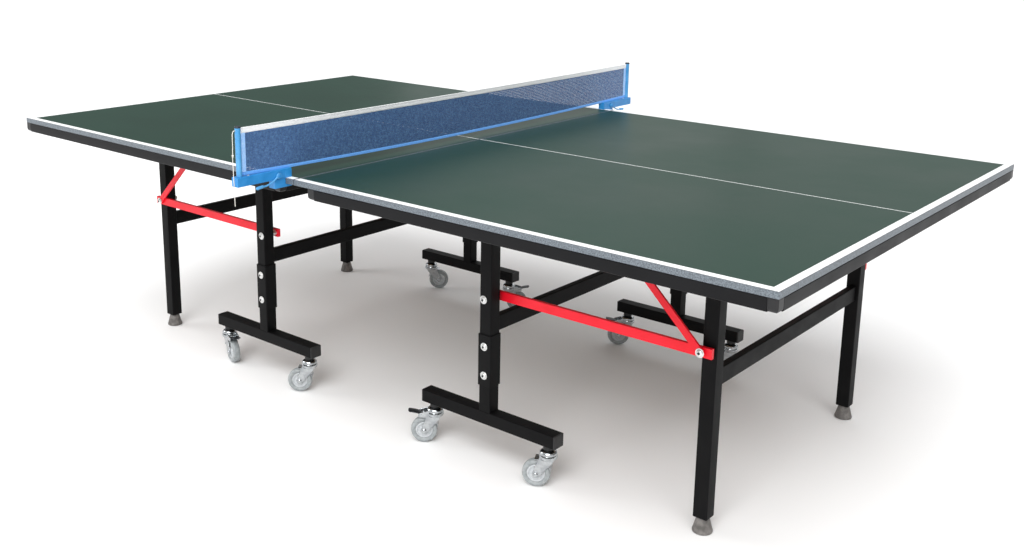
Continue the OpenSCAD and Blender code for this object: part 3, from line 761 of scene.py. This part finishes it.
def makeCasters(facts):
    skins = {}
    axle = Matrix.Translation((facts["trail"], 0, facts["axle"])) @ alongY
    for index in range(1, 9):
        braked = index in facts["braked"]
        place = casterPlace(index)
        if braked not in skins:
            pressed = forkShape(braked)
            skins[braked] = bpy.data.meshes.new("forkSource")
            pressed.to_mesh(skins[braked])
            pressed.free()
        shape = bmesh.new()
        shape.from_mesh(skins[braked])
        # axle bolt with a nut on each side, kingpin above
        addTurned(shape, facts["axleBolt"], axle, 20)
        for bank in (-1, 1):
            turn = axle if bank > 0 else axle @ Matrix.Rotation(math.pi, 4, "X")
            addTurned(shape, facts["axleNut"], turn, 24)
        addTurned(shape, facts["kingpin"], steps=24)
        if braked:
            pin = Matrix.Translation((facts["pin"][0], 0, facts["pin"][1])) @ alongY
            addTurned(shape, facts["brakePin"], pin, 16)
        finishPiece(f"fork_{index}_pressed", shape, "chromePlatedPressing", f"fork_{index}",
                    [f"fork_{index}"], place, 40)
        makeWheel(index, place, axle, wheelFacts)
        if braked:
            makePedal(index, place, pedalFacts)


wheelFacts = {
    "tyre": [(0.0262, -0.0095), (0.0280, -0.0113), (0.0310, -0.0119), (0.0338, -0.0112), (0.0360, -0.0090),
             (0.0371, -0.0055), (0.0375, 0), (0.0371, 0.0055), (0.0360, 0.0090), (0.0338, 0.0112),
             (0.0310, 0.0119), (0.0280, 0.0113), (0.0262, 0.0095), (0.0240, 0.0092), (0.0240, -0.0092)],
    "core": [(0.0239, -0.0085), (0.0222, -0.0100), (0.0200, -0.0098), (0.0186, -0.0072), (0.0125, -0.0066),
             (0.0110, -0.0090), (0.0088, -0.0128), (0.0070, -0.0130), (0.0041, -0.0130), (0.0041, 0.0130),
             (0.0070, 0.0130), (0.0088, 0.0128), (0.0110, 0.0090), (0.0125, 0.0066), (0.0186, 0.0072),
             (0.0200, 0.0098), (0.0222, 0.0100), (0.0239, 0.0085)],
    "ribs": 6,                # low ribs on the core's web
    "rib": [(0.0108, -0.0011), (0.0192, -0.0009), (0.0192, 0.0009), (0.0108, 0.0011)],
    "ribDepth": (0.0060, 0.0086),
}


def makeWheel(index, place, wheelAxis, facts):
    shape = bmesh.new()
    for slotIndex, profile in enumerate((facts["tyre"], facts["core"])):
        addTurned(shape, profile + [profile[0]], wheelAxis, 56, slotIndex)
    for k in range(facts["ribs"]):
        for bank in (-1, 1):
            spoke = wheelAxis @ Matrix.Rotation(math.pi / 3 * k, 4, "Z")
            low, high = sorted(bank * depth for depth in facts["ribDepth"])
            addPlate(shape, facts["rib"], low, high, spoke, 0.0003, 1)
    finishPiece(f"wheel_{index}_cast", shape, ["castPolyurethane", "mouldedPolypropylene"], f"wheel_{index}",
                [f"wheel_{index}"], place, 40)


pedalFacts = {
    "rise": 12,               # degrees
    "from": -0.003,           # its back end, behind the pin
    "long": 0.0395,
    "halfWidth": (0.0115, 0.0122),
    "thick": 0.0022,
    "lift": 0.0042,           # over the pin
    "arch": 0.0016,
    "lip": (0.8, 0.0014),     # where the end starts to turn up, and by how much
    "nose": (0.86, 0.155),    # where the end starts to round, and over what share
    "crown": 0.0012,
    "rows": 15,
    "columns": 9,
    "ribs": 5,
    "ribRadius": 0.0009,
    "knuckle": (0.0060, 0.0122),
}


def pedalPoint(facts, u, v):
    lipFrom, lipRise = facts["lip"]
    noseFrom, noseShare = facts["nose"]
    lift = facts["lift"] + facts["arch"] * math.sin(math.pi * u)
    if u > lipFrom:
        lift += lipRise * ((u - lipFrom) / (1 - lipFrom)) ** 2
    narrow, wide = facts["halfWidth"]
    half = narrow + (wide - narrow) * u
    if u > noseFrom:
        half *= math.sqrt(max(0.02, 1 - ((u - noseFrom) / noseShare) ** 2))
    return Vector((facts["from"] + facts["long"] * u, v * half, lift - facts["crown"] * v * v))


def makePedal(index, place, facts):
    pinX, pinZ = casterFacts["pin"]
    rows, columns = facts["rows"], facts["columns"]
    frameTurn = Matrix.Translation((pinX, 0, pinZ)) @ Matrix.Rotation(-math.radians(facts["rise"]), 4, "Y")
    shape = bmesh.new()
    grid = []
    for i in range(rows):
        grid.append([pedalPoint(facts, i / (rows - 1), -1 + 2 * j / (columns - 1)) for j in range(columns)])
    down = Vector((0, 0, facts["thick"]))
    tops = [[shape.verts.new(frameTurn @ p) for p in row] for row in grid]
    lows = [[shape.verts.new(frameTurn @ (p - down)) for p in row] for row in grid]
    for i in range(rows - 1):
        for j in range(columns - 1):
            shape.faces.new((tops[i][j], tops[i + 1][j], tops[i + 1][j + 1], tops[i][j + 1]))
            shape.faces.new((lows[i][j + 1], lows[i + 1][j + 1], lows[i + 1][j], lows[i][j]))
    for i in range(rows - 1):
        for j in (0, columns - 1):
            shape.faces.new((tops[i][j], lows[i][j], lows[i + 1][j], tops[i + 1][j]))
    for i in (0, rows - 1):
        for j in range(columns - 1):
            shape.faces.new((tops[i][j], tops[i][j + 1], lows[i][j + 1], lows[i][j]))
    for k in range(facts["ribs"]):        # pressed grip ribs across the pedal
        x = 0.012 + 0.0048 * k
        across = [-0.0085 + 0.0017 * m for m in range(11)]
        rib = [frameTurn @ Vector((x, y, 0.0052 - 18 * y * y)) for y in across]
        addTube(shape, rib, facts["ribRadius"], 8)
    collar = Matrix.Translation((pinX, 0, pinZ)) @ alongY
    for bank in (-1, 1):                  # knuckles round the pin
        low, high = sorted(bank * end for end in facts["knuckle"])
        addTurned(shape, [(0.0026, low), (0.0050, low), (0.0050, high), (0.0026, high), (0.0026, low)],
                  collar, 24)
    finishPiece(f"pedal_{index}_pressed", shape, "pedalSteel", f"pedal_{index}",
                [f"pedal_{index}"], place, 40)


makeCasters(casterFacts)
print("casters made")


netFacts = {
    "x": netX,
    "span": 0.8825,           # half the mesh's width
    "hemEdge": 0.8965,        # outer edge of the side hems
    "top": 0.897,
    "bottom": 0.796,
    "sagTop": 0.004,          # how far the head line dips in the middle
    "sagBottom": 0.013,
    "pitch": 0.0048,          # mesh spacing; the real yarns are finer than can show
    "yarnUp": 0.0037,
    "yarnAcross": 0.0034,
    "yarnThick": 0.0009,
    "layer": 0.00022,         # each set of yarns stands this far to its side of the middle
    "drift": 0.0004,          # how far an upright yarn wanders
    "wobble": 0.0004,         # how far a band leans
    "bandSteps": 90,
    "sideHem": 0.0138,
    "ripple": 0.0005,         # of the side hems
    "stitch": {"radius": 0.00028, "long": 0.0026, "every": 0.0036},
    "seamHalf": 0.890,
}


def netEdge(y, top):
    facts = netFacts
    share = 1 - (y / facts["hemEdge"]) ** 2
    return facts["top"] - facts["sagTop"] * share if top else facts["bottom"] - facts["sagBottom"] * share


# Closed flat yarn with a lens section: points along it, width across, thickness along X.
def addYarn(shape, points, widthWay, width, thick):
    aside, proud = widthWay * width / 2, Vector((thick / 2, 0, 0))
    joinRings(shape, [[shape.verts.new(Vector(p) + step) for step in (aside, proud, -aside, -proud)]
                      for p in points])


# Band along the net: section is a closed list of (x, z) offsets, edgeAt gives its height at y.
def addBand(shape, section, edgeAt, facts):
    halfSpan = facts["hemEdge"] - 0.0005
    rings = []
    for i in range(facts["bandSteps"] + 1):
        y = -halfSpan + 2 * halfSpan * i / facts["bandSteps"]
        lean = facts["wobble"] * noise.noise((y * 9, 0.3, 7.1))
        rings.append([shape.verts.new(Vector((facts["x"] + dx + lean * dz / 0.015, y, edgeAt(y) + dz)))
                      for dx, dz in section])
    joinRings(shape, rings)


def addStitches(shape, points, thread):
    half = thread["long"] / 2
    for a, b in zip(points, points[1:]):
        a, b = Vector(a), Vector(b)
        count = max(1, int((b - a).length / thread["every"]))
        way = (b - a).normalized()
        for k in range(count):
            middle = a + way * (k + 0.5) * (b - a).length / count
            addTube(shape, [middle + way * half * share for share in (-1, -0.6, 0.6, 1)], thread["radius"], 5)


def makeNet(facts):
    shape = bmesh.new()
    span, layer = facts["span"], facts["layer"]
    count = int(round(2 * span / facts["pitch"]))
    for i in range(count):
        y = -span + (i + 0.5) * 2 * span / count
        x = facts["x"] + layer
        low, high = netEdge(y, False), netEdge(y, True)
        drift = facts["drift"] * noise.noise((y * 60, 1.7, 0.2))
        addYarn(shape, [(x, y, low), (x, y + drift, (low + high) / 2), (x, y, high)], Vector((0, 1, 0)),
                facts["yarnUp"], facts["yarnThick"])
    rows = int(round((facts["top"] - facts["bottom"]) / facts["pitch"]))
    for j in range(rows):
        share = (j + 0.5) / rows
        line = []
        for i in range(41):
            y = -span + 2 * span * i / 40
            low, high = netEdge(y, False), netEdge(y, True)
            line.append((facts["x"] - layer, y, low + (high - low) * share))
        addYarn(shape, line, Vector((0, 0, 1)), facts["yarnAcross"], facts["yarnThick"])
    mesh = finishPiece("netMeshYarns", shape, "knittedPolyesterYarn", "left_top", ["net_mesh"],
                       sharp=60)

    # white tape folded over the head line, its two leaves stitched together below the cord
    shape = bmesh.new()
    fold = [(0.0014 * math.sin(math.radians(a)), 0.0135 + 0.0014 * math.cos(math.radians(a)))
            for a in range(-120, 121, 20)]
    section = fold + [(0.0008, 0.0112), (0.0009, 0.0060), (0.0008, 0.0004), (0.0004, 0),
                      (-0.0004, 0), (-0.0008, 0.0004), (-0.0009, 0.0060), (-0.0008, 0.0112)]
    addBand(shape, section, lambda y: netEdge(y, True), facts)
    for bank in (-1, 1):
        seam = []
        for i in range(61):
            y = -facts["seamHalf"] + 2 * facts["seamHalf"] * i / 60
            seam.append((facts["x"] + bank * 0.0009, y, netEdge(y, True) + 0.0028))
        addStitches(shape, seam, facts["stitch"])
    tape = finishPiece("netTopTape", shape, "wovenCottonTape", "left_top", ["net_tapes"],
                       sharp=60)

    # blue hem along the bottom, folded round its own cord
    shape = bmesh.new()
    fold = [(0.0011 * math.sin(math.radians(a)), 0.0002 - 0.0078 + 0.0011 * math.cos(math.radians(a)))
            for a in range(60, 301, 20)]
    section = [(-0.0004, 0), (-0.0008, -0.0004), (-0.0008, -0.0060), *fold[::-1], (0.0008, -0.0060),
               (0.0008, -0.0004), (0.0004, 0)]
    addBand(shape, section, lambda y: netEdge(y, False), facts)
    hem = finishPiece("netBottomHem", shape, "wovenPolyesterHem", "left_top", sharp=60)

    # side hems beside the posts
    for name, bank in (("Near", -1), ("Far", 1)):
        shape = bmesh.new()
        outer, inner = bank * facts["hemEdge"], bank * (facts["hemEdge"] - facts["sideHem"])
        leaf = [(inner, 0.0006), (inner + bank * 0.0008, 0.0009), (outer - bank * 0.0016, 0.0011),
                (outer, 0.0005)]
        rings = []
        for i in range(25):
            share = i / 24
            row = []
            for y, dx in leaf + [(y, -dx) for y, dx in reversed(leaf)]:
                low, high = netEdge(y, False), netEdge(y, True)
                ripple = facts["ripple"] * noise.noise((share * 6, y * 3, 2.2))
                row.append(shape.verts.new((facts["x"] + dx + ripple, y, low + (high - low) * share)))
            rings.append(row)
        joinRings(shape, rings)
        for face in (-1, 1):
            x, y = facts["x"] + face * 0.0010, bank * (facts["hemEdge"] - 0.0125)
            addStitches(shape, [(x, y, 0.797), (x, y, 0.895)], facts["stitch"])
        finishPiece("netSideHem" + name, shape, "wovenPaleHem", "left_top",
                                 sharp=60)


makeNet(netFacts)
print("net made")


# Net hardware. Places are offsets from the net's plane, then distances along the row and up.
hardwareFacts = {
    "capAt": (0.905, 0.9121),
    "cap": [(0, 0), (0.0080, 0), (0.0085, 0.0004), (0.0085, 0.0026), (0.0080, 0.0036), (0.0066, 0.0045),
            (0.0040, 0.0049), (0, 0.0050)],
    "rivets": ((-0.0035, 0.808, 0.7853, 0.0038), (0.0045, 0.880, 0.7853, 0.0032)),   # the last is the radius
    "rivet": ((0, 0), (1, 0), (0.97, 0.28), (0.75, 0.52), (0.4, 0.64), (0, 0.68)),   # in shares of the radius
    "pivot": (0.0155, 0.7875, 0.770),
    "hubFrom": 0.0131,
    "hub": [(0.0031, 0), (0.0074, 0), (0.0079, 0.0005), (0.0079, 0.0042), (0.0074, 0.0047),
            (0.0031, 0.0047), (0.0031, 0)],
    "rodRadius": 0.0024,
    "grip": [(0, -0.020), (0.0024, -0.020), (0.0038, -0.0185), (0.0042, -0.014), (0.0042, -0.001),
             (0.0040, 0.0015), (0.0028, 0.0035), (0, 0.0042)],
}


def makeNetHardware(facts):
    refineNode("net_posts", "paleBlueEnamel", 0.0004)
    refineNode("net_brackets", "blueEnamel", 0.0007)
    shape = bmesh.new()
    for bank in (-1, 1):
        at = Matrix.Translation((netX, bank * facts["capAt"][0], facts["capAt"][1]))
        addTurned(shape, facts["cap"], at, 32)
    finishPiece("netPostCapsMoulded", shape, "mouldedCapNavy", "left_top",
                ["net_post_caps"])
    shape = bmesh.new()
    for bank in (-1, 1):
        for x, y, z, radius in facts["rivets"]:
            at = Matrix.Translation((netX + x, bank * y, z))
            addTurned(shape, [(radius * out, radius * up) for out, up in facts["rivet"]], at, 20)
    finishPiece("netBracketRivets", shape, "zincPlatedSteel", "left_top")
    for name, bank in rowBanks:
        node = "clamp_lever_" + name
        x, y, z = facts["pivot"]
        pivot = Vector((netX + x, bank * y, z))
        knee = pivot + Vector((0, bank * 0.034, -0.017))
        tip = knee + Vector((0, bank * 0.039, -0.004))
        shape = bmesh.new()
        hub = Matrix.Translation((netX + facts["hubFrom"], pivot.y, pivot.z))
        addTurned(shape, facts["hub"], hub @ Matrix.Rotation(math.pi / 2, 4, "Y"), 32)
        line = smoothRoute([pivot + Vector((0, bank * 0.0055, -0.0020)),
                            pivot + Vector((0, bank * 0.016, -0.0090)), knee,
                            knee + Vector((0, bank * 0.018, -0.0030)), tip], 6)
        addTube(shape, line, facts["rodRadius"], 14)
        gripWay = Vector((0, bank, -0.1)).to_track_quat("Z", "Y")
        addTurned(shape, facts["grip"], Matrix.Translation(tip) @ gripWay.to_matrix().to_4x4(), 24)
        finishPiece(node + "_bent", shape, "paleBlueEnamel", node, [node])


makeNetHardware(hardwareFacts)
print("net hardware made")


stageFacts = {
    "floorHex": ("#f8f8f8", "#fafafa"),
    "floorHalf": 60,          # metres
    "floorDrop": 0.0005,
    "worldPower": 0.75,
    "lowTone": (0.1, 0.105, 0.105, 1),    # the room darkens towards the horizon
    "highTone": (1, 1, 1, 1),
    "backdrop": (1.35, 1.35, 1.35, 1),
}
lampFacts = {
    "softSun": {"kind": "SUN", "place": (2.5, -4.0, 6.0), "aim": (0, 0, 0), "size": 0.9, "power": 2.2},
    "softKey": {"kind": "AREA", "place": (2.4, -5.2, 3.4), "aim": (0.3, 0, 0.4), "size": 3.0, "power": 120},
    "softFill": {"kind": "AREA", "place": (-5.0, -2.5, 3.0), "aim": (0, 0, 0.5), "size": 3.0, "power": 80},
    "sheenNet": {"kind": "AREA", "place": (-2.8, 4.4, 2.2), "aim": (0.5, -0.3, 0.76), "size": 2.6,
                 "power": 9},
    "sheenEnd": {"kind": "AREA", "place": (-0.6, 5.8, 2.1), "aim": (1.2, 0.1, 0.76), "size": 2.4, "power": 7},
}


def makeStage(facts):
    made, tree, shader, place = startMaterial("matteStudioFloor",
                                              {"Roughness": 0.9, "Specular IOR Level": 0.1})
    mottle = addNode(tree, "ShaderNodeTexNoise", {"Scale": 1.5, "Detail": 3.0}, {"Vector": place})
    first, second = [toLinear(h) for h in facts["floorHex"]]
    colour = addNode(tree, "ShaderNodeValToRGB", {"stops": [(0.35, first), (0.65, second)]},
                     {"Fac": mottle.outputs["Fac"]})
    tree.links.new(colour.outputs["Color"], shader.inputs["Base Color"])
    data = bpy.data.meshes.new("studioFloor")
    half = facts["floorHalf"]
    corners = [(-half, -half, 0), (half, -half, 0), (half, half, 0), (-half, half, 0)]
    data.from_pydata(corners, [], [(0, 1, 2, 3)])
    data.materials.append(made)
    floor = bpy.data.objects.new("studioFloor", data)
    floor.location.z = -facts["floorDrop"]
    bpy.context.scene.collection.objects.link(floor)


def makeWorld(facts):
    world = bpy.data.worlds.new("studioWorld")
    world.use_nodes = True
    tree = world.node_tree
    back = tree.nodes["Background"]
    back.inputs["Strength"].default_value = facts["worldPower"]
    place = addNode(tree, "ShaderNodeTexCoord").outputs["Generated"]
    height = addNode(tree, "ShaderNodeSeparateXYZ", None, {"Vector": place})
    stops = [(0.14, facts["lowTone"]), (0.55, facts["highTone"])]
    tone = addNode(tree, "ShaderNodeValToRGB", {"stops": stops}, {"Fac": height.outputs["Z"]})
    # what the lens sees past the floor is the same pale backdrop
    seen = addNode(tree, "ShaderNodeLightPath").outputs["Is Camera Ray"]
    backdrop = addNode(tree, "ShaderNodeMixRGB", {"Color2": facts["backdrop"]},
                       {"Fac": seen, "Color1": tone.outputs["Color"]})
    tree.links.new(backdrop.outputs["Color"], back.inputs["Color"])
    bpy.context.scene.world = world


def makeLamps(lamps):
    for name, facts in lamps.items():
        data = bpy.data.lights.new(name, facts["kind"])
        data.energy = facts["power"]
        if facts["kind"] == "AREA":
            data.shape, data.size, data.size_y = "RECTANGLE", facts["size"], facts["size"]
        else:
            data.angle = facts["size"]
        lamp = bpy.data.objects.new(name, data)
        lamp.visible_camera = False
        lamp.location = facts["place"]
        aim = Vector(facts["aim"]) - Vector(facts["place"])
        lamp.rotation_euler = aim.to_track_quat("-Z", "Y").to_euler()
        bpy.context.scene.collection.objects.link(lamp)


makeStage(stageFacts)
makeWorld(stageFacts)
makeLamps(lampFacts)
bpy.context.scene.view_settings.view_transform = "Standard"
print("stage lit")
